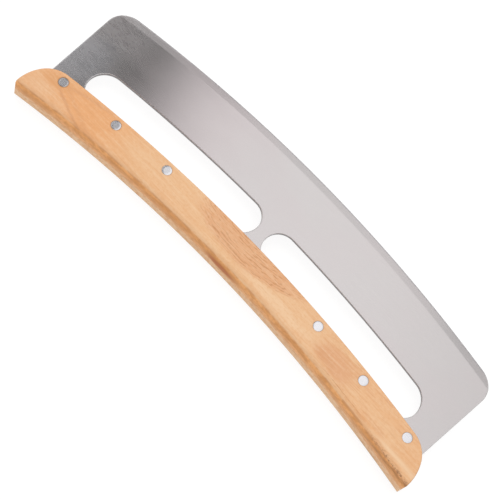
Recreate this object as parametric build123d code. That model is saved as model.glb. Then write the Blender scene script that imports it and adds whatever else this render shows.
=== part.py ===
from build123d import *
from math import radians, tan
import os

# Rocking pizza knife: an arched steel blade held between two wooden scales by six two-part rivets.
# Sizes are in millimetres. The knife is drawn flat, with X along it, +Y towards the cutting edge and
# the blade's mid-plane at Z = 0. The crown of the cutting edge is at Y = 0, so depths run towards -Y.

# Widths across the knife in its middle, from the cutting edge inwards
edge_band_width = 44.5
slot_opening = 25.0
handle_width = 25.6

# Blade: its length is taken at the depth of the spine's crown, and its ends splay out from there
blade_length = 337.0
end_splay_angle = 4.2
blade_thickness = 2.0
cutting_edge_radius = 1010.0
blade_corner_radius = 15.3
bevel_width = 5.5
edge_land = 0.3

# Hand slots, one each side of a narrow web
slot_far_side_radius = 1094.0
web_width = 9.3
leg_width = 19.5
slot_cover = 1.2
slot_near_outer_radius = 12.0
slot_near_inner_radius = 13.9
slot_end_flat = 0.3

# Handle: its round ends are centred at one depth below the crown of its inner edge
handle_overhang = 6.5
handle_thickness = 20.0
handle_edge_radius = 1084.0
spine_radius = 1015.0
handle_end_radius = 31.8
end_centre_drop = 36.5
shoulder_radius = 20.0
spine_round_over = 5.0
arris_radius = 1.2

# Tang pocket inside the handle
spine_wall = 6.0
tang_corner_radius = 5.0
pocket_clearance = 0.1

# Rivets: a socket half from the front and a pin half from the back
rivets_per_side = 3
rivet_pitch = 43.3
rivet_end_distance = 13.5
rivet_inset = 6.2
head_diameter = 6.8
head_thickness = 1.5
shank_diameter = 4.0
rivet_pin_diameter = 2.8
socket_end_gap = 1.5
pin_end_gap = 1.0
head_clearance = 0.05
shank_clearance = 0.1
pin_fit_clearance = 0.02
pin_lead_in = 0.3

# One overrun serves every cut
overrun = 1.0

half_blade = blade_length / 2
half_thickness = blade_thickness / 2
half_handle = handle_thickness / 2
half_length = half_blade + handle_overhang
handle_depth = edge_band_width + slot_opening
spine_depth = handle_depth + handle_width
slot_near_depth = handle_depth + slot_cover
slot_near_radius = handle_edge_radius - slot_cover
slot_end_height = slot_opening + slot_cover - slot_end_flat
tang_depth = spine_depth - spine_wall
tang_edge_radius = spine_radius + spine_wall
rivet_depth = handle_depth + rivet_inset
rivet_line_radius = handle_edge_radius - rivet_inset


def disc(depth, radius):
    """A large disc whose crown is the given depth below the cutting edge's crown."""
    return Pos(0, -depth - radius) * Circle(radius)


def band(depth, radius, far_depth, far_radius):
    """The arched strip between two crowns."""
    return disc(depth, radius) - disc(far_depth, far_radius)


def rounded(plan, upper_radius, lower_radius):
    """The plan with its two highest and its two lowest corners rounded."""
    plan = fillet(plan.vertices().sort_by(Axis.Y)[-2:], upper_radius)
    return fillet(plan.vertices().sort_by(Axis.Y)[:2], lower_radius)


def splayed_window(half):
    """A window whose ends lean outwards, with a half length at the depth of the spine's crown."""
    spread = spine_depth * tan(radians(end_splay_angle))
    corners = [(half + spread, 0), (half - spread, -2 * spine_depth)]
    corners += [(-x, y) for x, y in reversed(corners)]
    return make_face(Polyline(*corners, close=True))


def tang_plan(clearance=0.0):
    """The blade's outline without its slots, grown by a clearance where it lies in the handle."""
    strip = band(0, cutting_edge_radius, tang_depth + clearance, tang_edge_radius - clearance)
    plan = strip & splayed_window(half_blade + clearance)
    return rounded(plan, blade_corner_radius, tang_corner_radius + clearance)


def corner_at(plan, place, side):
    """The plan's upper (side = 1) or lower (side = -1) corner at an X place."""
    column = [point for point in plan.vertices() if abs(point.X - place) < overrun]
    return max(column, key=lambda point: point.Y * side)


def slot_plan():
    """The right-hand hand slot: its near side lies just under the wood."""
    inner = web_width / 2
    outer = half_blade - leg_width
    strip = band(edge_band_width, slot_far_side_radius, slot_near_depth, slot_near_radius)
    window = Pos((inner + outer) / 2, -slot_near_depth) * Rectangle(outer - inner, 2 * slot_near_depth)
    plan = strip & window
    for place, near_radius in ((inner, slot_near_inner_radius), (outer, slot_near_outer_radius)):
        for side, radius in ((1, slot_end_height - near_radius), (-1, near_radius)):
            plan = fillet(corner_at(plan, place, side), radius)
    return plan


def rivet_places():
    """The rivet centres, on a line that follows the handle's edge at the rivet inset."""
    places = []
    for step in range(rivets_per_side):
        x = half_blade - rivet_end_distance - step * rivet_pitch
        y = (rivet_line_radius**2 - x**2) ** 0.5 - rivet_line_radius - rivet_depth
        places += [(x, y), (-x, y)]
    return sorted(places)


def bevel_cutter():
    """A ring that takes the metal off the front of the cutting edge."""
    slope = (half_thickness - edge_land / 2) / bevel_width
    with BuildSketch(Plane.YZ) as section:
        with BuildLine():
            Polyline(
                (-bevel_width, half_thickness),
                (overrun, half_thickness - slope * (bevel_width + overrun)),
                (overrun, half_thickness + overrun),
                (-bevel_width, half_thickness + overrun),
                close=True,
            )
        make_face()
    return revolve(section.sketch, axis=Axis((0, -cutting_edge_radius, 0), (0, 0, 1)))


def blade():
    """The blade with its tang, two hand slots, rivet holes and ground cutting edge."""
    body = extrude(tang_plan(), half_thickness, both=True)
    opening = extrude(slot_plan(), half_thickness + overrun, both=True)
    hole = Cylinder(shank_diameter / 2 + shank_clearance, blade_thickness + 2 * overrun)
    cutter = bevel_cutter()
    body -= [opening, opening.mirror(Plane.YZ), cutter, cutter.mirror(Plane.XY)]
    body -= [Pos(x, y) * hole for x, y in rivet_places()]
    return body


def handle_plan():
    """The handle's outline: two near-parallel arcs with broad round ends."""
    reach = half_length - handle_end_radius
    window = Pos(0, -spine_depth) * Rectangle(2 * reach, 2 * spine_depth)
    for side in (-1, 1):
        window += Pos(side * reach, -handle_depth - end_centre_drop) * Circle(handle_end_radius)
    plan = band(handle_depth, handle_edge_radius, spine_depth, spine_radius) & window
    return fillet(plan.vertices().sort_by(Axis.Y)[-2:], shoulder_radius)


def front_outline(body):
    """The edges round the body's front face, with the long one at the spine last."""
    return body.faces().sort_by(Axis.Z)[-1].outer_wire().edges().sort_by(SortBy.LENGTH)


def scale():
    """The front scale: rounded along the spine, with a pocket for the tang and counterbored holes."""
    body = extrude(handle_plan(), half_handle)
    body = fillet(front_outline(body)[-1], spine_round_over)
    body = fillet(front_outline(body)[:-1], arris_radius)
    body -= extrude(tang_plan(pocket_clearance), half_thickness)
    shank_hole = Cylinder(shank_diameter / 2 + shank_clearance, handle_thickness + 2 * overrun)
    head_hole = Pos(0, 0, half_handle - head_thickness) * Cylinder(
        head_diameter / 2 + head_clearance,
        head_thickness + overrun,
        align=(Align.CENTER, Align.CENTER, Align.MIN),
    )
    for x, y in rivet_places():
        body -= [Pos(x, y) * shank_hole, Pos(x, y) * head_hole]
    return body


def rivet_head():
    """A flush rivet head, its outer face level with the front scale."""
    return Pos(0, 0, half_handle - head_thickness) * Cylinder(
        head_diameter / 2, head_thickness, align=(Align.CENTER, Align.CENTER, Align.MIN)
    )


def rivet_socket():
    """The front half: a head on a tube that reaches nearly to the back head."""
    top = half_handle - head_thickness
    bottom = socket_end_gap - top
    tube = Pos(0, 0, top) * Cylinder(
        shank_diameter / 2, top - bottom, align=(Align.CENTER, Align.CENTER, Align.MAX)
    )
    bore = Pos(0, 0, top - socket_end_gap) * Cylinder(
        rivet_pin_diameter / 2 + pin_fit_clearance,
        top - socket_end_gap - bottom + overrun,
        align=(Align.CENTER, Align.CENTER, Align.MAX),
    )
    return rivet_head() + tube - bore


def rivet_pin():
    """The back half: a head on a solid pin driven into the socket's bore."""
    top = half_handle - head_thickness - socket_end_gap - pin_end_gap
    bottom = head_thickness - half_handle
    pin = Pos(0, 0, bottom) * Cylinder(
        rivet_pin_diameter / 2, top - bottom, align=(Align.CENTER, Align.CENTER, Align.MIN)
    )
    pin = chamfer(pin.edges().sort_by(Axis.Z)[-1], pin_lead_in)
    return rivet_head().mirror(Plane.XY) + pin


front = scale()
nodes = {"blade": blade(), "front_scale": front, "back_scale": front.mirror(Plane.XY)}
for number, (x, y) in enumerate(rivet_places(), 1):
    nodes[f"rivet_{number}_socket"] = Pos(x, y) * rivet_socket()
    nodes[f"rivet_{number}_pin"] = Pos(x, y) * rivet_pin()

# The origin is moved to the middle of the knife, on the surface that the back scale lies on.
boxes = [piece.bounding_box() for piece in nodes.values()]
middle_depth = (min(box.min.Y for box in boxes) + max(box.max.Y for box in boxes)) / 2
to_origin = Pos(0, -middle_depth, half_handle)
print(f"crown of the cutting edge at Y = {-middle_depth:.3f}")

os.makedirs("parts", exist_ok=True)
for name, piece in nodes.items():
    export_step(to_origin * piece.solid(), f"parts/{name}.step")
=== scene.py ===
import math

import bmesh
import bpy
from mathutils import Matrix, Vector


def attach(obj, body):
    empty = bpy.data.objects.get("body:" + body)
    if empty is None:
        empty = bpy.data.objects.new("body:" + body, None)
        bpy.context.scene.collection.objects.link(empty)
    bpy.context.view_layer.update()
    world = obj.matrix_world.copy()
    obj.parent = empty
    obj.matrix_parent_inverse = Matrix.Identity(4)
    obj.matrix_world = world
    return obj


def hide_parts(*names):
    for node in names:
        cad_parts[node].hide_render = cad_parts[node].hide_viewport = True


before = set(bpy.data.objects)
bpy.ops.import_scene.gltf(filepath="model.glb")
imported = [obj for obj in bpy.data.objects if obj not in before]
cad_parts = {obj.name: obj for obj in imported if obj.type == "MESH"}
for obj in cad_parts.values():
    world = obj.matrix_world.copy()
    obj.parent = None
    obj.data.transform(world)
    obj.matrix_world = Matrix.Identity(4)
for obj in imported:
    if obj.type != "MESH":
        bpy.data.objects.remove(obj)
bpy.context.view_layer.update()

# Sizes in millimetres, as the CAD source has them: X along the knife, +Y to the cutting edge,
# the cutting edge's crown at Y = 0 and the blade's mid-plane at Z = 0.
MM = 0.001
CROWN_Y = 55.025
EDGE_RADIUS = 1010.0
HALF_BLADE = 168.5
HALF_THICKNESS = 1.0
END_SPLAY = math.tan(math.radians(4.2))

# Handle
HALF_LENGTH = 175.0
HALF_HANDLE = 10.0
HANDLE_DEPTH = 69.5
HANDLE_RADIUS = 1084.0
SPINE_DEPTH = 95.1
SPINE_RADIUS = 1015.0
HANDLE_WIDTH = SPINE_DEPTH - HANDLE_DEPTH
END_RADIUS = 31.8
END_DROP = 36.5
END_CENTRE = (HALF_LENGTH - END_RADIUS, -HANDLE_DEPTH - END_DROP)
END_TIP = math.radians(-1.5)
SHOULDER = 20.0
SPINE_CORNER = 1.2
ROUND_OVER = 5.0
ARRIS = 1.2

# Tang pocket
SPINE_WALL = 6.0
POCKET_GAP = 0.1
TANG_CORNER = 5.0

# Rivets
RIVET_XS = (-155.0, -111.7, -68.4, 68.4, 111.7, 155.0)
RIVET_INSET = 6.2
HEAD_RADIUS = 3.4
HEAD_HOLE_RADIUS = 3.45
HEAD_THICKNESS = 1.5
HEAD_RIM = 0.22
HEAD_DISH = ((0.0, 0.03), (0.6 * HEAD_RADIUS, 0.01), (HEAD_RADIUS - HEAD_RIM, 0.02))
SHANK_RADIUS = 2.0
SHANK_HOLE_RADIUS = 2.1
PIN_RADIUS = 1.4
BORE_RADIUS = 1.42
SOCKET_END_GAP = 1.5
PIN_END_GAP = 1.0

# How far a cutter reaches past the surface
OVERRUN = 1.0

# How finely the curved surfaces are divided
ARC_STEPS = 300
CORNER_STEPS = 18
END_STEPS = 20
CHAIN_STEPS = 380
TANG_STEPS = 100
TANG_CORNER_STEPS = 10
TURN_STEPS = 48
SETTLING_STEPS = 20
WALL_LEVELS = (0.35, 0.7)
RING_INSETS = (0.0, 0.04, 0.14, 0.3, 0.5, 0.74, 1.0, 1.25)
CROSS_SHARES = (
    0.02, 0.045, 0.075, 0.105, 0.135, 0.16, 0.2, 0.3, 0.42, 0.55, 0.68, 0.8, 0.9, 0.96,
)
SHARP_ANGLE = math.radians(35)


def place(x, y, z):
    """A point of the millimetre drawing in the shared frame, in metres."""
    return Vector((x, y + CROWN_Y, z + HALF_HANDLE)) * MM


def link(name, mesh, body="root"):
    """An object for a mesh that is already in the shared frame, riding on a body."""
    piece = bpy.data.objects.new(name, mesh)
    bpy.context.scene.collection.objects.link(piece)
    if body:
        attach(piece, body)
    return piece


def to_mesh(name, bm):
    """A mesh from a built shape, with its faces turned outwards."""
    bmesh.ops.recalc_face_normals(bm, faces=bm.faces)
    mesh = bpy.data.meshes.new(name)
    bm.to_mesh(mesh)
    bm.free()
    return mesh


def mark_edges(mesh):
    """Smooth faces, with a sharp edge wherever two faces meet steeply."""
    bm = bmesh.new()
    bm.from_mesh(mesh)
    for face in bm.faces:
        face.smooth = True
    for edge in bm.edges:
        if len(edge.link_faces) == 2:
            edge.smooth = edge.calc_face_angle() < SHARP_ANGLE
    bm.to_mesh(mesh)
    bm.free()


# The handle scales

def arc_y(depth, radius, x):
    """The height of an arc whose crown is the given depth below the cutting edge's crown."""
    return -depth - radius + math.sqrt(radius * radius - x * x)


def rivet_y(x):
    """Where a rivet sits across the knife: on an arc that follows the handle's edge."""
    return arc_y(HANDLE_DEPTH + RIVET_INSET, HANDLE_RADIUS - RIVET_INSET, x)


def corner_arc(centre, radius, start, end, steps):
    """Points and outward normals round a corner, from one angle to another."""
    found = []
    for step in range(steps + 1):
        a = start + (end - start) * step / steps
        n = (math.cos(a), math.sin(a))
        found.append(((centre[0] + radius * n[0], centre[1] + radius * n[1]), n))
    return found


def meet(centre, radius, other, other_radius):
    """The right-hand point at given distances from two centres."""
    dx, dy = other[0] - centre[0], other[1] - centre[1]
    gap = math.hypot(dx, dy)
    along = (gap * gap + radius * radius - other_radius * other_radius) / (2 * gap)
    off = math.sqrt(radius * radius - along * along)
    found = []
    for turn in (-1, 1):
        x = centre[0] + (dx * along - dy * off * turn) / gap
        y = centre[1] + (dy * along + dx * off * turn) / gap
        found.append((x, y))
    return max(found, key=lambda point: point[0])


def half_chain(depth, radius, corner, side):
    """The right half of one long side, from the middle to the end's tip: (point, outward normal)."""
    crown = (0.0, -depth - radius)
    cx, cy = meet(crown, radius - corner * side, END_CENTRE, END_RADIUS - corner)
    tangent = math.atan2(cy - crown[1], cx)
    chain = []
    for step in range(ARC_STEPS):
        a = math.pi / 2 + (tangent - math.pi / 2) * step / ARC_STEPS
        n = (math.cos(a) * side, math.sin(a) * side)
        chain.append(((radius * math.cos(a), crown[1] + radius * math.sin(a)), n))
    start = tangent if side > 0 else tangent - math.pi
    turn = math.atan2(cy - END_CENTRE[1], cx - END_CENTRE[0])
    chain += corner_arc((cx, cy), corner, start, turn, CORNER_STEPS)
    return chain + corner_arc(END_CENTRE, END_RADIUS, turn, END_TIP, END_STEPS)[1:]


def full_chain(depth, radius, corner, side):
    """A whole long side of the handle's outline, from the left end wall to the right one."""
    right = half_chain(depth, radius, corner, side)
    left = [((-p[0], p[1]), (-n[0], n[1])) for p, n in reversed(right[1:])]
    return left + right


def resample(chain, count):
    """The chain at even steps along its length."""
    lengths = [0.0]
    for (p, _), (q, _) in zip(chain, chain[1:]):
        lengths.append(lengths[-1] + math.dist(p, q))
    found = []
    k = 0
    for step in range(count):
        want = lengths[-1] * step / (count - 1)
        while k < len(chain) - 2 and lengths[k + 1] < want:
            k += 1
        share = (want - lengths[k]) / (lengths[k + 1] - lengths[k])
        (p, n), (q, m) = chain[k], chain[k + 1]
        x = p[0] + (q[0] - p[0]) * share
        y = p[1] + (q[1] - p[1]) * share
        nx = n[0] + (m[0] - n[0]) * share
        ny = n[1] + (m[1] - n[1]) * share
        size = math.hypot(nx, ny)
        found.append(((x, y), (nx / size, ny / size)))
    return found


def top_height(x, y, inset):
    """Height of a scale's outer surface above the mid-plane at an inset from the outline."""
    height = HALF_HANDLE
    if inset < ARRIS:
        height = HALF_HANDLE - ARRIS + math.sqrt(ARRIS**2 - (ARRIS - inset) ** 2)
    from_spine = math.hypot(x, y + SPINE_DEPTH + SPINE_RADIUS) - SPINE_RADIUS
    if from_spine < ROUND_OVER:
        rise = ROUND_OVER - max(from_spine, 0.0)
        height = min(height, HALF_HANDLE - ROUND_OVER + math.sqrt(ROUND_OVER**2 - rise**2))
    return height


def handle_block(name, flip):
    """One scale as a closed shell before its pocket and holes are cut."""
    upper = resample(full_chain(HANDLE_DEPTH, HANDLE_RADIUS, SHOULDER, 1), CHAIN_STEPS)
    lower = resample(full_chain(SPINE_DEPTH, SPINE_RADIUS, SPINE_CORNER, -1), CHAIN_STEPS)
    ring = upper + list(reversed(lower))
    bm = bmesh.new()

    def vert(x, y, z):
        return bm.verts.new(place(x, y, z * flip))

    # The wall, from the mid-plane up and over the arris
    rows = [[vert(p[0], p[1], 0.0) for p, n in ring]]
    tops = [top_height(p[0], p[1], 0.0) for p, n in ring]
    for level in WALL_LEVELS:
        rows.append([vert(p[0], p[1], top * level) for (p, n), top in zip(ring, tops)])
    for inset in RING_INSETS:
        row = []
        for p, n in ring:
            x, y = p[0] - n[0] * inset, p[1] - n[1] * inset
            row.append(vert(x, y, top_height(x, y, inset)))
        rows.append(row)
    count = len(ring)
    for low, high in zip(rows, rows[1:]):
        for k in range(count):
            m = (k + 1) % count
            bm.faces.new((low[k], low[m], high[m], high[k]))

    # The face, in columns from the inner edge to the spine
    last = rows[-1]
    columns = [list(last[:CHAIN_STEPS])]
    spine = list(reversed(last[CHAIN_STEPS:]))
    for share in reversed(CROSS_SHARES):
        column = []
        for u, v in zip(columns[0], spine):
            p = v.co.lerp(u.co, share)
            x, y = p.x / MM, p.y / MM - CROWN_Y
            column.append(vert(x, y, top_height(x, y, ARRIS)))
        columns.append(column)
    columns.append(spine)
    for high, low in zip(columns, columns[1:]):
        for k in range(CHAIN_STEPS - 1):
            bm.faces.new((high[k], high[k + 1], low[k + 1], low[k]))
    bm.faces.new(rows[0])
    return to_mesh(name, bm)


def tang_outline(gap):
    """The blade's outline where it lies in the handle, grown by a gap, and far beyond it."""
    half = HALF_BLADE + gap
    radius = SPINE_RADIUS + SPINE_WALL - gap
    depth = SPINE_DEPTH - SPINE_WALL + gap
    corner = TANG_CORNER + gap
    centre_y = -depth - radius
    lean = math.atan(END_SPLAY)
    # The corner touches both the spine's arc and the leaning end, so its centre is settled in steps
    cx, cy = half, -SPINE_DEPTH
    for _ in range(SETTLING_STEPS):
        cx = half + (cy + SPINE_DEPTH) * END_SPLAY - corner / math.cos(lean)
        cy = centre_y + math.sqrt((radius + corner) ** 2 - cx * cx)
    tangent = math.atan2(cy - centre_y, cx)
    right = []
    for step in range(TANG_STEPS + 1):
        a = math.pi / 2 + (tangent - math.pi / 2) * step / TANG_STEPS
        right.append((radius * math.cos(a), centre_y + radius * math.sin(a)))
    right += [p for p, n in corner_arc((cx, cy), corner, tangent - math.pi, -lean, TANG_CORNER_STEPS)]
    right.append((half + SPINE_DEPTH * END_SPLAY, 0.0))
    left = [(-x, y) for x, y in reversed(right[1:])]
    return left + right


def prism(name, outline, low, high):
    """A closed prism over an outline between two heights."""
    bm = bmesh.new()
    bottom = [bm.verts.new(place(x, y, low)) for x, y in outline]
    top = [bm.verts.new(place(x, y, high)) for x, y in outline]
    for k in range(len(outline)):
        m = (k + 1) % len(outline)
        bm.faces.new((bottom[k], bottom[m], top[m], top[k]))
    bm.faces.new(top)
    bm.faces.new(list(reversed(bottom)))
    return to_mesh(name, bm)


def lathe(bm, x, y, profile, flip):
    """Turns a (radius, height) profile about an upright axis at x, y."""
    rows = []
    for radius, height in profile:
        if radius == 0:
            rows.append([bm.verts.new(place(x, y, height * flip))] * TURN_STEPS)
            continue
        row = []
        for step in range(TURN_STEPS):
            a = 2 * math.pi * step / TURN_STEPS
            point = place(x + radius * math.cos(a), y + radius * math.sin(a), height * flip)
            row.append(bm.verts.new(point))
        rows.append(row)
    for low, high in zip(rows, rows[1:]):
        for k in range(TURN_STEPS):
            m = (k + 1) % TURN_STEPS
            corners = []
            for v in (low[k], low[m], high[m], high[k]):
                if v not in corners:
                    corners.append(v)
            if len(corners) > 2:
                bm.faces.new(corners)


def turned(name, x, y, profile, flip):
    """A mesh turned from one profile."""
    bm = bmesh.new()
    lathe(bm, x, y, profile, flip)
    mesh = to_mesh(name, bm)
    mark_edges(mesh)
    return mesh


def cut(mesh, cutters):
    """The mesh with each cutter taken away."""
    block = link("block", mesh, None)
    tools = [link("cutter", cutter, None) for cutter in cutters]
    for tool in tools:
        modifier = block.modifiers.new("cut", "BOOLEAN")
        modifier.operation = "DIFFERENCE"
        modifier.solver = "EXACT"
        modifier.object = tool
    graph = bpy.context.evaluated_depsgraph_get()
    result = bpy.data.meshes.new_from_object(block.evaluated_get(graph))
    for item in (block, *tools):
        bpy.data.objects.remove(item)
    return result


def scale_mesh(name, flip):
    """A scale: the rounded block less the tang's pocket and the counterbored rivet holes."""
    pocket = prism("pocket", tang_outline(POCKET_GAP), -HALF_THICKNESS, HALF_THICKNESS)
    seat = HALF_HANDLE - HEAD_THICKNESS
    beyond = HALF_HANDLE + OVERRUN
    hole = (
        (0, -HALF_HANDLE), (SHANK_HOLE_RADIUS, -HALF_HANDLE), (SHANK_HOLE_RADIUS, seat),
        (HEAD_HOLE_RADIUS, seat), (HEAD_HOLE_RADIUS, beyond), (0, beyond),
    )
    bm = bmesh.new()
    for x in RIVET_XS:
        lathe(bm, x, rivet_y(x), hole, flip)
    mesh = cut(handle_block(name, flip), [pocket, to_mesh("holes", bm)])
    mesh.name = name
    mark_edges(mesh)
    return mesh


# Wood. Places and widths are in millimetres: x along the knife, "across" from the handle's inner
# edge over the face and down the spine, "over" the same but on past the mid-plane to the back.
WOOD_PALE = (0.830, 0.520, 0.290)
WOOD_CREAM = (0.880, 0.610, 0.380)
WOOD_GOLD = (0.800, 0.460, 0.235)
WOOD_HONEY = (0.805, 0.392, 0.165)
WOOD_SALMON = (0.800, 0.480, 0.270)
WOOD_ORANGE = (0.730, 0.350, 0.140)
WOOD_RED = (0.740, 0.380, 0.192)
WOOD_RUST = (0.690, 0.330, 0.150)
WOOD_BROWN = (0.560, 0.260, 0.110)
WOOD_UMBER = (0.600, 0.260, 0.080)
WOOD_BURNT = (0.470, 0.130, 0.025)
WOOD_PORE = (0.300, 0.130, 0.050)
WOOD_SIDE = (0.860, 0.405, 0.142)

# Noises: how often they change along and across a millimetre, seed, detail and roughness
WOOD_NOISES = {
    "drift": (0.012, 0.05, 3.0, 2.0, 0.5),
    "ragged": (0.05, 0.14, 11.0, 3.0, 0.5),
    "fuzz": (0.10, 0.45, 5.0, 3.0, 0.5),
    "broad": (0.012, 0.16, 1.0, 3.0, 0.5),
    "bands": (0.022, 0.5, 4.0, 3.0, 0.6),
    "strokes": (0.10, 0.85, 9.0, 2.0, 0.55),
    "fine": (0.06, 2.6, 2.0, 3.0, 0.6),
    "pores": (0.2, 2.0, 7.0, 2.0, 0.65),
    "mottle": (0.45, 0.6, 13.0, 3.0, 0.6),
    "clouds": (0.11, 0.3, 21.0, 3.0, 0.6),
    "crumbs": (0.5, 0.9, 31.0, 3.0, 0.7),
}
GRAIN_NOISES = ("broad", "bands", "strokes", "fine", "pores")
STILL_NOISES = ("mottle", "clouds", "crumbs")
SEED_SPREAD = (1.0, 0.7, 0.3)
NOISE_MIDDLE = 0.5
GRAIN_SLANT = 0.8
DRIFT_WIDTH = 9.0
RAGGED_WIDTH = 0.9
FUZZ_WIDTH = 4.0

# Warmer ends: the places along the knife where they start and are full, and their strength
WARM_ENDS = ((-80.0, -135.0, 0.75), (95.0, 125.0, 0.3))

# Soft patches on the face and on the spine: centre, reach, colour and strength
BLOB_CORE = 0.35
WOOD_PATCHES = (
    ((-164.0, 5.0), (18.0, 6.0), WOOD_RED, 0.3),
    ((44.0, 18.0), (44.0, 6.5), WOOD_CREAM, 0.6),
    ((93.0, 13.0), (25.0, 10.0), WOOD_RED, 0.95),
    ((85.0, 16.5), (10.0, 4.5), WOOD_RUST, 0.7),
    ((106.0, 7.0), (20.0, 5.0), WOOD_RED, 0.45),
    ((140.0, 15.0), (24.0, 7.0), WOOD_PALE, 0.45),
    ((-62.0, 10.0), (44.0, 10.0), WOOD_PALE, 0.5),
    ((-164.0, 17.0), (15.0, 8.0), WOOD_SALMON, 0.6),
)
END_GLOW = ((-157.0, 7.5), (14.0, 7.0), WOOD_ORANGE, 0.85)
SPINE_STREAKS = (
    ((-50.0, 29.5), (40.0, 5.0), WOOD_UMBER, 0.5),
    ((-2.0, 30.5), (24.0, 5.5), WOOD_UMBER, 0.8),
    ((-1.0, 31.5), (16.0, 4.0), WOOD_BURNT, 0.95),
    ((-158.0, 31.0), (16.0, 5.0), WOOD_UMBER, 0.5),
    ((-92.0, 30.0), (14.0, 3.5), WOOD_UMBER, 0.5),
    ((66.0, 28.0), (12.0, 3.0), WOOD_UMBER, 0.6),
    ((148.0, 30.0), (30.0, 4.0), WOOD_UMBER, 0.6),
)

# The middle's figure: a bowl that is open towards the blade, with rings nested in it
BOWL_DEPTH = 18.5
BOWL_CURVE = 0.0056
BOWL_MIDDLE = 6.0
BOWL_EDGE = (-1.0, 2.5)
BOWL_FADE = (54.0, 30.0)
BOWL_RING_RATE = 3.3

# The left end's figure: a leaf between a straight edge and a curved one, with rings on its edges
LEAF_POINT = (-158.0, 9.5)
LEAF_SLOPE = 0.5
LEAF_SWELL = 1.25
LEAF_EDGE = (-0.5, 2.0)
LEAF_FADE = (-92.0, -122.0)
LEAF_OUTSIDE = (0.0, -3.0)
LEAF_OUTSIDE_FADE = (-112.0, -126.0)
LEAF_RINGS = (("low", 0.6, 1.8, 0.95), ("low", 6.0, 2.5, 0.4), ("high", 0.0, 2.0, 0.7))
LEAF_RING_FADES = ((-108.0, -128.0), (-164.0, -156.0))

# Grain: noise, the values where it starts and is full, strength (or its ramp along x) and colour
LIVELY = (60.0, 95.0, 0.12, 0.42)
WOOD_GRAIN = (
    ("bands", 0.5, 0.72, 0.32, WOOD_ORANGE),
    ("bands", 0.5, 0.28, 0.28, WOOD_CREAM),
    ("strokes", 0.52, 0.66, LIVELY, WOOD_RUST),
    ("strokes", 0.46, 0.34, 0.16, WOOD_CREAM),
    ("mottle", 0.5, 0.7, 0.3, WOOD_ORANGE),
    ("mottle", 0.48, 0.32, 0.2, WOOD_CREAM),
    ("fine", 0.5, 0.8, 0.24, WOOD_BROWN),
    ("pores", 0.58, 0.75, 0.2, WOOD_BROWN),
)

# Lines along the face, the corner and the spine: (place across, half width), their fades along the
# knife, and for slanting ones where they start and how fast they climb
STRIPE_LINE, STRIPE_START, STRIPE_SLOPE = (21.0, 3.0), 143.0, 0.106
STRIPE_FADE = (132.0, 152.0)
THREAD_LINE, THREAD_FADES = (21.6, 0.7), ((84.0, 92.0), (128.0, 120.0))
# The corner's line is painted shade on the round-over.
CORNER_SHADE_LINE = (HANDLE_WIDTH, 1.5)
LINE_WANDER = 1.5
CRUMB_LINE, CRUMB_FADE = (24.8, 3.2), (128.0, 152.0)
SEAM_LINE, SEAM_START, SEAM_SLOPE, SEAM_WANDER = (31.2, 2.6), 135.0, 0.12, 2.0
SEAM_FADE = (118.0, 158.0, 0.1, 1.0)

# The spine's wall: where it begins across, and how its tones change over it. Part of the change is the
# end grain's own warmer colour; part is painted shade, darkest near the corner, and painted bounce
# light, paler lower down.
SIDE_START = (24.6, 26.6)
SIDE_TONE_AND_SHADE = (36.0, 31.0, 0.3, 0.88)
SIDE_CLOUDS_AND_SHADE = (38.0, 31.0, 0.25, 0.6)
BACK_BOUNCE_LIGHT = (32.5, 36.5)

# Painted shade on the edges where the surface turns away from the face, and on the end walls where it
# turns endwise
ARRIS_SHADE_TURN, ARRIS_SHADE_BAND = (0.97, 0.55), (25.5, 22.0)
END_WALL_SHADE_TURN = (0.55, 0.8)

# Painted shade in the gap round the rivets and at the heads' rims, which fades out along the knife
SHADED_LEFT_PART = (-150.0, -80.0)
GAP_SHADE_RING = (HEAD_RADIUS + 0.9, HEAD_RADIUS + 0.2)
GAP_SHADE_FADE = (*SHADED_LEFT_PART, 0.4, 0.12)
RIM_RING, RIM_REACH = (HEAD_RADIUS - 1.5, HEAD_RADIUS + 0.1), (9.0, 6.0)
RIM_FADE = (*SHADED_LEFT_PART, 0.85, 0.08)

# Steel. Its noises' scales are per metre.
STEEL_PALE = (0.730, 0.692, 0.688)
STEEL_DARK = (0.650, 0.612, 0.612)
STEEL_PINK = (0.728, 0.655, 0.662)
STEEL_SMEAR = (0.780, 0.760, 0.770)
STEEL_SHADE = (0.420, 0.400, 0.410)
STEEL_BLUISH = (0.860, 0.890, 0.960)
STEEL_WALL = (0.200, 0.190, 0.190)
BRUSH_SCALE = (70, 4200, 4200)
CLOUD_SCALE = (22, 60, 60)
SMEAR_SCALE, SMEAR_MOVE = (150, 520, 520), (0.3, 0.2, 0.0)
EDGE_DOT_SCALE = (900, 900, 900)
SCUFF_FADE = (-128.0, -152.0)
SCUFF_WANDER = 40.0
ROSY_FADES = ((-150.0, -100.0), (-20.0, -85.0))
# A paler bluish patch next to the wood at the left end
BLUISH_CENTRE, BLUISH_REACH = (-162.0, -62.0, 0.0), (24.0, 30.0, 1.0)
# Painted shade along the last millimetre of the cutting edge
EDGE_SHADE_BAND = (-1.2 * MM, -0.3 * MM)
WALL_TURN = (0.75, 0.4)
GROUND_SOFTNESS = 1.1 * MM

# Rivet heads
RIVET_DARK = (0.84, 0.83, 0.87)
RIVET_BRIGHT = (0.94, 0.93, 0.96)
RIVET_DULL = (0.76, 0.76, 0.80)
# The dark tone of the painted shade at the heads' rims
RIVET_RIM_SHADE = (0.36, 0.32, 0.30)
SCRATCH_SCALE = (500, 3000, 3000)
DULL_SCALE = (500, 500, 500)


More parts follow.
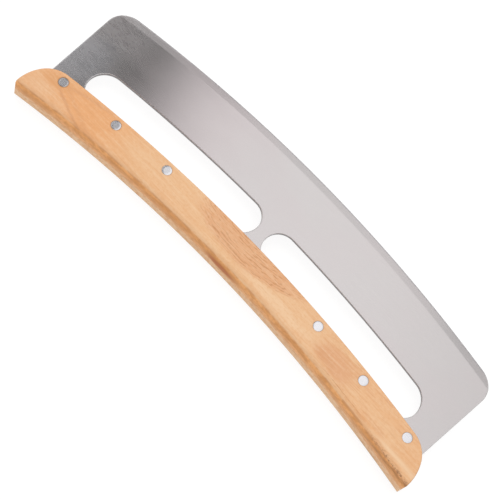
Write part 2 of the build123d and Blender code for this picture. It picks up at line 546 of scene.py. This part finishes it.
class Shader:
    """Builds a node material with short calls."""

    def __init__(self, name):
        self.material = bpy.data.materials.new(name)
        self.material.use_nodes = True
        self.tree = self.material.node_tree
        self.surface = self.tree.nodes["Principled BSDF"]
        self.point = self.new("ShaderNodeTexCoord").outputs["Object"]

    def new(self, kind, **settings):
        """A node with its settings."""
        node = self.tree.nodes.new(kind)
        for key, value in settings.items():
            setattr(node, key, value)
        return node

    def feed(self, socket, value):
        """Links a socket's value, or sets it where it is plain."""
        if hasattr(value, "is_output"):
            self.tree.links.new(value, socket)
        else:
            socket.default_value = value

    def set(self, **values):
        """Feeds the surface's sockets by name."""
        for key, value in values.items():
            socket = self.surface.inputs[key.replace("_", " ")]
            if isinstance(value, tuple) and len(value) == 3:
                value = (*value, 1.0)
            self.feed(socket, value)

    def math(self, operation, a, b=0.0):
        """One step of arithmetic."""
        node = self.new("ShaderNodeMath", operation=operation)
        self.feed(node.inputs[0], a)
        self.feed(node.inputs[1], b)
        return node.outputs[0]

    def plus(self, a, b):
        """The sum of two values."""
        return self.math("ADD", a, b)

    def minus(self, a, b):
        """The difference of two values."""
        return self.math("SUBTRACT", a, b)

    def times(self, *values):
        """The product of several values."""
        total = values[0]
        for value in values[1:]:
            total = self.math("MULTIPLY", total, value)
        return total

    def vector(self, operation, a, b=(0, 0, 0)):
        """One step of arithmetic on vectors."""
        node = self.new("ShaderNodeVectorMath", operation=operation)
        self.feed(node.inputs[0], a)
        self.feed(node.inputs[1], b)
        return node.outputs["Value" if operation == "LENGTH" else "Vector"]

    def parts(self, a):
        """A vector's three numbers."""
        node = self.new("ShaderNodeSeparateXYZ")
        self.feed(node.inputs[0], a)
        return node.outputs

    def together(self, x, y, z):
        """A vector of three numbers."""
        node = self.new("ShaderNodeCombineXYZ")
        for socket, value in zip(node.inputs, (x, y, z)):
            self.feed(socket, value)
        return node.outputs[0]

    def mapped(self, source, scale, move=(0, 0, 0)):
        """A place stretched and moved, to look up a noise there."""
        node = self.new("ShaderNodeMapping")
        self.feed(node.inputs["Vector"], source)
        node.inputs["Scale"].default_value = scale
        node.inputs["Location"].default_value = move
        return node.outputs[0]

    def noise(self, where, detail, rough, distort=0.0):
        """A noise around its middle value, looked up at a place."""
        node = self.new("ShaderNodeTexNoise")
        self.feed(node.inputs["Vector"], where)
        settings = {"Scale": 1.0, "Detail": detail, "Roughness": rough, "Distortion": distort}
        for key, number in settings.items():
            node.inputs[key].default_value = number
        return node.outputs["Fac"]

    def ramp(self, value, low, high, to_low=0.0, to_high=1.0, kind="SMOOTHSTEP"):
        """A value led from one range to another, and held at its ends."""
        node = self.new("ShaderNodeMapRange", interpolation_type=kind)
        self.feed(node.inputs["Value"], value)
        settings = {"From Min": low, "From Max": high, "To Min": to_low, "To Max": to_high}
        for key, number in settings.items():
            node.inputs[key].default_value = number
        return node.outputs["Result"]

    def line(self, value, centre, half_width):
        """1 where a value is at the centre, falling to 0 at the half width."""
        return self.ramp(self.math("ABSOLUTE", self.minus(value, centre)), 0.0, half_width, 1.0, 0.0)

    def blob(self, where, centre, reach, wander=0.0):
        """1 in the middle of a soft ball and 0 outside it, in millimetres."""
        away = self.vector("DIVIDE", self.vector("SUBTRACT", where, centre), reach)
        return self.ramp(self.plus(self.vector("LENGTH", away), wander), BLOB_CORE, 1.0, 1.0, 0.0)

    def mix(self, share, a, b):
        """A blend of two colours."""
        node = self.new("ShaderNodeMix", data_type="RGBA")
        self.feed(node.inputs["Factor"], share)
        for socket, value in ((node.inputs[6], a), (node.inputs[7], b)):
            self.feed(socket, value if hasattr(value, "is_output") else (*value, 1.0))
        return node.outputs[2]

    def bump(self, height, strength, distance):
        """A node that raises the surface by a height."""
        node = self.new("ShaderNodeBump")
        self.feed(node.inputs["Height"], height)
        node.inputs["Strength"].default_value = strength
        node.inputs["Distance"].default_value = distance
        return node

    def radius_from(self, depth, radius):
        """Distance above an arc across the knife, in metres."""
        px, py, _ = self.parts(self.point)
        flat = self.together(px, self.plus(py, (depth + radius - CROWN_Y) * MM), 0.0)
        return self.minus(self.vector("LENGTH", flat), radius * MM)

    def drawing(self):
        """X, Y and Z of the millimetre drawing at the shaded point."""
        px, py, pz = (self.times(part, 1 / MM) for part in self.parts(self.point))
        return px, self.minus(py, CROWN_Y), self.minus(pz, HALF_HANDLE)

    def facing(self):
        """How squarely a surface faces along the knife, across it and up."""
        normal = self.new("ShaderNodeTexCoord").outputs["Normal"]
        return [self.math("ABSOLUTE", part) for part in self.parts(normal)]

    def rivet_distances(self, x, y):
        """The distance from each rivet's axis, one after another."""
        for rivet_x in RIVET_XS:
            away = self.together(self.minus(x, rivet_x), self.minus(y, rivet_y(rivet_x)), 0.0)
            yield self.vector("LENGTH", away)


class Wood(Shader):
    """Pale lacquered hardwood: lengthwise grain with the growth rings' figure, coloured in layers."""

    def __init__(self):
        super().__init__("lacquered_wood")
        self.x, self.y, self.z = self.drawing()
        self.where = self.together(self.x, self.y, self.z)
        spine = self.times(self.radius_from(SPINE_DEPTH, SPINE_RADIUS), 1 / MM)
        fall = self.minus(HALF_HANDLE, self.math("ABSOLUTE", self.z))
        self.across = self.plus(self.minus(HANDLE_WIDTH, spine), fall)
        self.over = self.minus(self.minus(HANDLE_WIDTH + HALF_HANDLE, spine), self.z)
        self.ragged = self.swing("ragged", RAGGED_WIDTH)
        self.fuzz = self.swing("fuzz", FUZZ_WIDTH)
        bent_y = self.plus(self.y, self.swing("drift", DRIFT_WIDTH))
        bent = self.together(self.x, bent_y, self.times(self.z, GRAIN_SLANT))
        self.noises = {name: self.wave(name, bent) for name in GRAIN_NOISES}
        self.noises.update((name, self.wave(name, self.where)) for name in STILL_NOISES)
        self.colour = self.mix(self.ramp(self.noises["broad"], 0.3, 0.7), WOOD_PALE, WOOD_GOLD)
        self.paint_patches()
        self.paint_middle()
        self.paint_left_end()
        self.paint_grain()
        self.paint_spine()
        self.paint_right_tip()
        self.paint_edges()
        self.finish()

    def wave(self, name, source):
        """A noise of the list, at a place."""
        along, across, seed, detail, rough = WOOD_NOISES[name]
        move = tuple(seed * share for share in SEED_SPREAD)
        return self.noise(self.mapped(source, (along, across, across), move), detail, rough)

    def swing(self, name, width):
        """A noise that swings about zero."""
        return self.times(self.minus(self.wave(name, self.where), NOISE_MIDDLE), width)

    def wash(self, towards, *shares):
        """Moves the wood's colour towards another by the product of the shares."""
        self.colour = self.mix(self.times(*shares), self.colour, towards)

    def fade(self, low, high):
        """0 to 1 between two places along the knife."""
        return self.ramp(self.x, low, high)

    def paint_patch(self, surface, patch, *shares):
        """One soft patch of a list."""
        centre, reach, towards, strength = patch
        blob = self.blob(surface, (*centre, 0.0), (*reach, 1.0), self.ragged)
        self.wash(towards, blob, strength, *shares)

    def paint_patches(self):
        """Broad changes of tone over the face."""
        self.flat = self.together(self.x, self.across, 0.0)
        for start, full, strength in WARM_ENDS:
            self.wash(WOOD_HONEY, self.fade(start, full), strength)
        for patch in WOOD_PATCHES:
            self.paint_patch(self.flat, patch)

    def paint_middle(self):
        """Redder wood next to the blade, its rings nested in a bowl."""
        bowl = self.minus(BOWL_DEPTH, self.times(self.x, self.x, BOWL_CURVE))
        inside = self.plus(self.minus(bowl, self.across), self.fuzz)
        from_middle = self.math("ABSOLUTE", self.minus(self.x, BOWL_MIDDLE))
        lens = self.times(self.ramp(inside, *BOWL_EDGE), self.ramp(from_middle, *BOWL_FADE))
        self.wash(WOOD_RED, lens, 0.8)
        rings = self.ramp(self.math("SINE", self.times(inside, BOWL_RING_RATE)), 0.0, 1.0)
        self.wash(WOOD_BROWN, rings, self.ramp(self.noises["strokes"], 0.40, 0.56), lens, 0.9)

    def paint_left_end(self):
        """A golden leaf that points to the tip, edged by darker rings."""
        point_x, point_across = LEAF_POINT
        along = self.minus(self.x, point_x)
        low = self.minus(self.plus(point_across, self.times(along, LEAF_SLOPE)), self.across)
        low = self.plus(low, self.times(self.fuzz, 0.7))
        swell = self.times(self.math("SQRT", self.math("MAXIMUM", along, 0.0)), LEAF_SWELL)
        high = self.minus(self.across, self.minus(point_across, swell))
        high = self.plus(high, self.times(self.fuzz, 0.4))
        leaf = self.times(self.ramp(low, *LEAF_EDGE), self.ramp(high, *LEAF_EDGE), self.fade(*LEAF_FADE))
        self.wash(WOOD_HONEY, leaf, 0.85)
        self.wash(WOOD_SALMON, self.ramp(low, *LEAF_OUTSIDE), self.fade(*LEAF_OUTSIDE_FADE), 0.35)
        edges = {"low": low, "high": high}
        for edge, centre, width, strength in LEAF_RINGS:
            fades = [self.fade(*ends) for ends in LEAF_RING_FADES]
            self.wash(WOOD_RUST, self.line(edges[edge], centre, width), *fades, strength)
        self.paint_patch(self.flat, END_GLOW)

    def paint_grain(self):
        """Long bands, strokes, fine grain and pores, with a pale stripe and a dark thread."""
        for name, low, high, strength, towards in WOOD_GRAIN:
            if isinstance(strength, tuple):
                strength = self.ramp(self.x, *strength)
            self.wash(towards, self.ramp(self.noises[name], low, high), strength)
        stripe = self.plus(self.across, self.times(self.minus(self.x, STRIPE_START), STRIPE_SLOPE))
        self.wash(WOOD_CREAM, self.line(stripe, *STRIPE_LINE), self.fade(*STRIPE_FADE), 0.7)
        self.wavy = self.plus(self.across, self.times(self.ragged, LINE_WANDER))
        broken = self.ramp(self.noises["pores"], 0.4, 0.6)
        fades = [self.fade(*ends) for ends in THREAD_FADES]
        self.wash(WOOD_BROWN, self.line(self.wavy, *THREAD_LINE), broken, *fades, 0.8)

    def paint_spine(self):
        """The spine is cut across the rings, so it is warmer past the corner. Over that it carries
        painted shade, darkest just past the corner, and painted bounce light that makes it paler below.
        """
        over, mottle, clouds = self.over, self.noises["mottle"], self.noises["clouds"]
        side = self.ramp(self.across, *SIDE_START)
        # Warm end-grain tone on the side, made strongest near the corner as painted shade.
        self.wash(WOOD_SIDE, side, self.ramp(over, *SIDE_TONE_AND_SHADE))
        # Painted bounce light: the lower back of the spine turns paler.
        self.wash(WOOD_CREAM, self.ramp(over, *BACK_BOUNCE_LIGHT), 0.7)
        # Umber clouds on the side, made stronger near the corner as painted shade.
        self.wash(WOOD_UMBER, side, self.ramp(clouds, 0.44, 0.62), self.ramp(over, *SIDE_CLOUDS_AND_SHADE))
        self.wash(WOOD_UMBER, side, self.ramp(mottle, 0.46, 0.64), 0.45)
        # Painted shade: a brown line along the round-over just past the corner.
        self.wash(WOOD_BROWN, self.line(self.wavy, *CORNER_SHADE_LINE), self.ramp(clouds, 0.35, 0.6), 0.65)
        round_spine = self.together(self.x, over, 0.0)
        for streak in SPINE_STREAKS:
            self.paint_patch(round_spine, streak, side)

    def paint_right_tip(self):
        """Open pores along the corner and a dark streak down the spine."""
        crumbs = self.times(self.ramp(self.noises["crumbs"], 0.46, 0.6), self.fade(*CRUMB_FADE))
        self.wash(WOOD_PORE, crumbs, self.line(self.across, *CRUMB_LINE), 0.8)
        seam = self.plus(self.across, self.times(self.minus(self.x, SEAM_START), SEAM_SLOPE))
        seam = self.plus(seam, self.times(self.ragged, SEAM_WANDER))
        clouded = self.ramp(self.noises["clouds"], 0.34, 0.56, 0.3, 1.0)
        self.wash(WOOD_PORE, self.line(seam, *SEAM_LINE), self.ramp(self.x, *SEAM_FADE), clouded, 0.6)

    def paint_edges(self):
        """Painted shade on the arrises and end walls where the surface turns from the face, and painted
        shade in the gaps round the rivet heads.
        """
        along, _, up = self.facing()
        # Painted shade on the arrises that turn from the face, and on the end walls.
        inner = self.times(self.ramp(up, *ARRIS_SHADE_TURN), self.ramp(self.across, *ARRIS_SHADE_BAND))
        self.wash(WOOD_BROWN, self.math("MAXIMUM", inner, self.ramp(along, *END_WALL_SHADE_TURN)), 0.6)
        # Painted shade in the gap round each rivet head, stronger at the left end.
        gap_shade = 0.0
        for far in self.rivet_distances(self.x, self.y):
            gap_shade = self.math("MAXIMUM", gap_shade, self.ramp(far, *GAP_SHADE_RING))
        self.wash(WOOD_PORE, gap_shade, self.ramp(self.x, *GAP_SHADE_FADE))

    def finish(self):
        """Satin lacquer over the open grain."""
        fine, pores = self.noises["fine"], self.noises["pores"]
        grain = self.bump(self.plus(fine, self.times(pores, -0.6)), 0.25, 0.00008)
        self.set(
            Base_Color=self.colour,
            Roughness=self.ramp(fine, 0.3, 0.8, 0.46, 0.6),
            Specular_IOR_Level=0.3, Coat_Weight=0.1, Coat_Roughness=0.25, Coat_IOR=1.45,
            Normal=grain.outputs[0],
        )


def steel():
    """Satin stainless steel, ground lengthwise, with finger smears towards the left end and painted
    shade along the cutting edge.
    """
    s = Shader("satin_steel")
    x, y, _ = s.drawing()
    brush = s.noise(s.mapped(s.point, BRUSH_SCALE), 3.0, 0.6)
    cloud = s.noise(s.mapped(s.point, CLOUD_SCALE), 3.0, 0.5)
    smear = s.noise(s.mapped(s.point, SMEAR_SCALE, SMEAR_MOVE), 4.0, 0.6, 0.8)
    edge_dots = s.noise(s.mapped(s.point, EDGE_DOT_SCALE), 2.0, 0.6)
    off = s.minus(smear, NOISE_MIDDLE)
    scuffed = s.ramp(s.plus(x, s.times(off, SCUFF_WANDER)), *SCUFF_FADE)
    rosy = s.times(*(s.ramp(x, *ends) for ends in ROSY_FADES))
    bluish_patch = s.blob(s.together(x, y, 0.0), BLUISH_CENTRE, BLUISH_REACH, off)
    wall = s.ramp(s.facing()[2], *WALL_TURN)
    edge = s.ramp(s.radius_from(0.0, EDGE_RADIUS), *EDGE_SHADE_BAND)
    colour = s.mix(brush, STEEL_DARK, STEEL_PALE)
    for towards, share in (
        (STEEL_PINK, s.times(s.ramp(cloud, 0.35, 0.75), 0.3)),
        (STEEL_PINK, s.times(rosy, 0.8)),
        (STEEL_SMEAR, s.times(s.ramp(smear, 0.42, 0.7), scuffed, 0.4)),
        (STEEL_SHADE, s.times(s.ramp(smear, 0.5, 0.3), scuffed, 0.25)),
        (STEEL_BLUISH, s.times(bluish_patch, 0.3)),
        (STEEL_WALL, s.times(wall, 0.85)),
        # Painted shade along the cutting edge, broken into dots by noise.
        (STEEL_SHADE, s.times(edge, s.ramp(edge_dots, 0.35, 0.6, 0.35, 0.9))),
    ):
        colour = s.mix(share, colour, towards)
    roughness = s.plus(s.ramp(cloud, 0.2, 0.8, 0.2, 0.24), s.times(wall, 0.2))
    soft = s.new("ShaderNodeBevel", samples=4)
    soft.inputs["Radius"].default_value = GROUND_SOFTNESS
    scratches = s.bump(brush, 0.06, 0.00003)
    s.feed(scratches.inputs["Normal"], soft.outputs[0])
    s.set(
        Base_Color=colour, Metallic=1.0, Anisotropic=0.75,
        Roughness=s.plus(roughness, s.times(scuffed, smear, 0.1)),
        Normal=scratches.outputs[0],
    )
    s.feed(s.surface.inputs["Tangent"], s.together(0.0, 1.0, 0.0))
    return s.material


def rivet_metal():
    """Aluminium rivet heads, sanded flush with the wood, the ones at the left with painted shade at the
    rim.
    """
    s = Shader("rivet_aluminium")
    scratch = s.noise(s.mapped(s.point, SCRATCH_SCALE), 3.0, 0.6)
    dull = s.noise(s.mapped(s.point, DULL_SCALE), 2.0, 0.5)
    colour = s.mix(scratch, RIVET_DARK, RIVET_BRIGHT)
    colour = s.mix(s.times(s.ramp(dull, 0.5, 0.75), 0.3), colour, RIVET_DULL)
    x, y, _ = s.drawing()
    rim = 0.0
    for far in s.rivet_distances(x, y):
        rim = s.math("MAXIMUM", rim, s.times(s.ramp(far, *RIM_RING), s.ramp(far, *RIM_REACH)))
    # Painted shade at the heads' rims, strongest at the left end.
    colour = s.mix(s.times(rim, s.ramp(x, *RIM_FADE)), colour, RIVET_RIM_SHADE)
    s.set(
        Base_Color=colour, Metallic=1.0,
        Roughness=s.ramp(scratch, 0.2, 0.8, 0.2, 0.28),
        Normal=s.bump(scratch, 0.03, 0.00002).outputs[0],
    )
    return s.material


# The knife

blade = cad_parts["blade"]
blade.data.materials.clear()
blade.data.materials.append(steel())

wood = Wood().material
for label, flip in (("front", 1), ("back", -1)):
    piece = link(f"{label}_scale_wood", scale_mesh(f"{label}_scale_wood", flip))
    piece.data.materials.clear()
    piece.data.materials.append(wood)
    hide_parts(f"{label}_scale")

# Profiles of the rivet halves as (radius, height), from the middle of the head outwards and down
head_bottom = HALF_HANDLE - HEAD_THICKNESS
bore_top = head_bottom - SOCKET_END_GAP
head_profile = tuple((radius, HALF_HANDLE - drop) for radius, drop in HEAD_DISH) + (
    (HEAD_RADIUS - HEAD_RIM / 3, HALF_HANDLE - HEAD_RIM / 3),
    (HEAD_RADIUS, HALF_HANDLE - HEAD_RIM), (HEAD_RADIUS, head_bottom),
)
socket_profile = head_profile + (
    (SHANK_RADIUS, head_bottom), (SHANK_RADIUS, SOCKET_END_GAP - head_bottom),
    (BORE_RADIUS, SOCKET_END_GAP - head_bottom), (BORE_RADIUS, bore_top), (0, bore_top),
)
pin_profile = head_profile + (
    (PIN_RADIUS, head_bottom), (PIN_RADIUS, PIN_END_GAP - bore_top), (0, PIN_END_GAP - bore_top),
)
rivet = rivet_metal()
for number, x in enumerate(RIVET_XS, 1):
    for half, profile, flip in (("socket", socket_profile, 1), ("pin", pin_profile, -1)):
        name = f"rivet_{number}_{half}_turned"
        piece = link(name, turned(name, x, rivet_y(x), profile, flip))
        piece.data.materials.append(rivet)
        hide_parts(f"rivet_{number}_{half}")


# The studio, in metres

FLOOR_REACH = 6.0
FLOOR_DROP = 0.0005
FLOOR_ALBEDO = {"unseen": 0.85, "seen": 0.20}
FLOOR_GLOW = {"unseen": 0.0, "seen": 0.865}
WORLD_LIGHT = 0.8
WORLD_SEEN = 1.0
KEY_SIZE = 1.6
KEY_POWER = 10
KEY_PLACE = (-0.5, 0.7, 1.6)
SENSOR_MM = 36.0
LENS_MM = 96.099
CLIP = (0.01, 50)
CAMERA_POSE = Matrix((
    (0.6920783, -0.7134090, 0.1098872, 0.096316),
    (0.6884362, 0.6066106, -0.3975917, -0.352231),
    (0.2169868, 0.3508149, 0.9109586, 0.781074),
    (0, 0, 0, 1),
))

# The card of grey tones overhead: stops of (place along the card, tone) on its near and far sides
CARD_REACH = (1.4, 1.6)
CARD_HEIGHT = 1.0
CARD_LEAN = 0.3
CARD_MIDDLE = 0.53
FAR_SIDE = (0.72, 0.95)
CARD_STOPS = (
    (-1.40, 0.75), (-0.62, 0.62), (-0.555, 0.44), (-0.515, 0.04), (-0.48, 0.0), (-0.43, 0.0),
    (-0.395, 0.42), (-0.36, 0.78), (-0.32, 0.97), (-0.27, 1.02), (0.05, 0.99), (0.30, 0.86),
    (1.40, 0.80),
)
FAR_STOPS = (
    (-1.40, 0.45), (-0.50, 0.47), (-0.43, 0.51), (-0.38, 0.58), (-0.33, 0.66), (-0.26, 0.73),
    (-0.20, 0.72), (-0.125, 0.73), (-0.03, 0.75), (0.06, 0.75), (0.15, 0.72), (0.22, 0.65),
    (0.25, 0.53), (1.40, 0.50),
)


def seen_share(tree):
    """1 for rays that show the background: from the camera, off gloss or through glass."""
    path = tree.nodes.new("ShaderNodeLightPath")
    total = path.outputs["Is Camera Ray"]
    for key in ("Is Glossy Ray", "Is Transmission Ray"):
        add = tree.nodes.new("ShaderNodeMath")
        add.operation = "ADD"
        add.use_clamp = True
        tree.links.new(total, add.inputs[0])
        tree.links.new(path.outputs[key], add.inputs[1])
        total = add.outputs[0]
    return total


def flat_sheet(name, half_x, half_y, location):
    """A level rectangle of the studio, which isn't part of the knife."""
    mesh = bpy.data.meshes.new(name)
    corners = [(sx * half_x, sy * half_y, 0) for sx, sy in ((-1, -1), (1, -1), (1, 1), (-1, 1))]
    mesh.from_pydata(corners, [], [range(len(corners))])
    sheet = link(name, mesh, None)
    sheet.location = location
    return sheet


def tone_bar(s, along, stops):
    """Grey tones between stops."""
    first, last = stops[0][0], stops[-1][0]
    bar = s.new("ShaderNodeValToRGB")
    s.feed(bar.inputs[0], s.ramp(along, first, last, kind="LINEAR"))
    while len(bar.color_ramp.elements) < len(stops):
        bar.color_ramp.elements.new(1.0)
    for element, (at, tone) in zip(bar.color_ramp.elements, stops):
        element.position = (at - first) / (last - first)
        element.color = (tone, tone, tone, 1)
    return bar.outputs[0]


def white_floor():
    """Near-white paper to look at, which still takes the knife's shadow."""
    s = Shader("white_floor")
    s.set(Roughness=0.9, Specular_IOR_Level=0.0, Emission_Color=(1, 1, 1))
    for key, choice in (("Base_Color", FLOOR_ALBEDO), ("Emission_Strength", FLOOR_GLOW)):
        s.set(**{key: s.ramp(seen_share(s.tree), 0.0, 1.0, choice["unseen"], choice["seen"])})
    return s.material


def grey_tones():
    """Light that changes along the card. The blade mirrors its near side and the bevel its far side."""
    s = Shader("grey_card")
    s.tree.nodes.remove(s.surface)
    x, y, _ = s.parts(s.point)
    leaning = s.plus(x, s.times(s.minus(y, CARD_MIDDLE), CARD_LEAN))
    near, far = tone_bar(s, leaning, CARD_STOPS), tone_bar(s, x, FAR_STOPS)
    glow = s.new("ShaderNodeEmission")
    s.feed(glow.inputs["Color"], s.mix(s.ramp(y, *FAR_SIDE), near, far))
    s.feed(s.tree.nodes["Material Output"].inputs["Surface"], glow.outputs[0])
    return s.material


world = bpy.data.worlds.new("studio")
bpy.context.scene.world = world
world.use_nodes = True
background = world.node_tree.nodes["Background"]
background.inputs["Color"].default_value = (1, 1, 1, 1)
strength = world.node_tree.nodes.new("ShaderNodeMapRange")
strength.inputs["To Min"].default_value = WORLD_LIGHT
strength.inputs["To Max"].default_value = WORLD_SEEN
world.node_tree.links.new(seen_share(world.node_tree), strength.inputs["Value"])
world.node_tree.links.new(strength.outputs["Result"], background.inputs["Strength"])

floor = flat_sheet("floor", FLOOR_REACH, FLOOR_REACH, (0, 0, -FLOOR_DROP))
floor.data.materials.append(white_floor())

card = flat_sheet("grey_card", *CARD_REACH, (0, 0, CARD_HEIGHT))
card.data.materials.append(grey_tones())
for name in ("camera", "diffuse", "transmission", "volume_scatter", "shadow"):
    setattr(card, f"visible_{name}", False)

key = bpy.data.lights.new("key", "AREA")
key.shape = "DISK"
key.size = KEY_SIZE
key.energy = KEY_POWER
key_lamp = bpy.data.objects.new("key", key)
bpy.context.scene.collection.objects.link(key_lamp)
key_lamp.location = KEY_PLACE
key_lamp.rotation_euler = (-key_lamp.location).to_track_quat("-Z", "Y").to_euler()
key_lamp.visible_glossy = False

# The camera looks from the spine's side, about 24 degrees from straight above
camera = bpy.data.cameras.new("camera")
camera.sensor_width = SENSOR_MM
camera.lens = LENS_MM
camera.clip_start, camera.clip_end = CLIP
eye = bpy.data.objects.new("camera", camera)
bpy.context.scene.collection.objects.link(eye)
bpy.context.scene.camera = eye
eye.matrix_world = CAMERA_POSE

bpy.context.view_layer.update()
bpy.context.scene.view_settings.view_transform = "Standard"
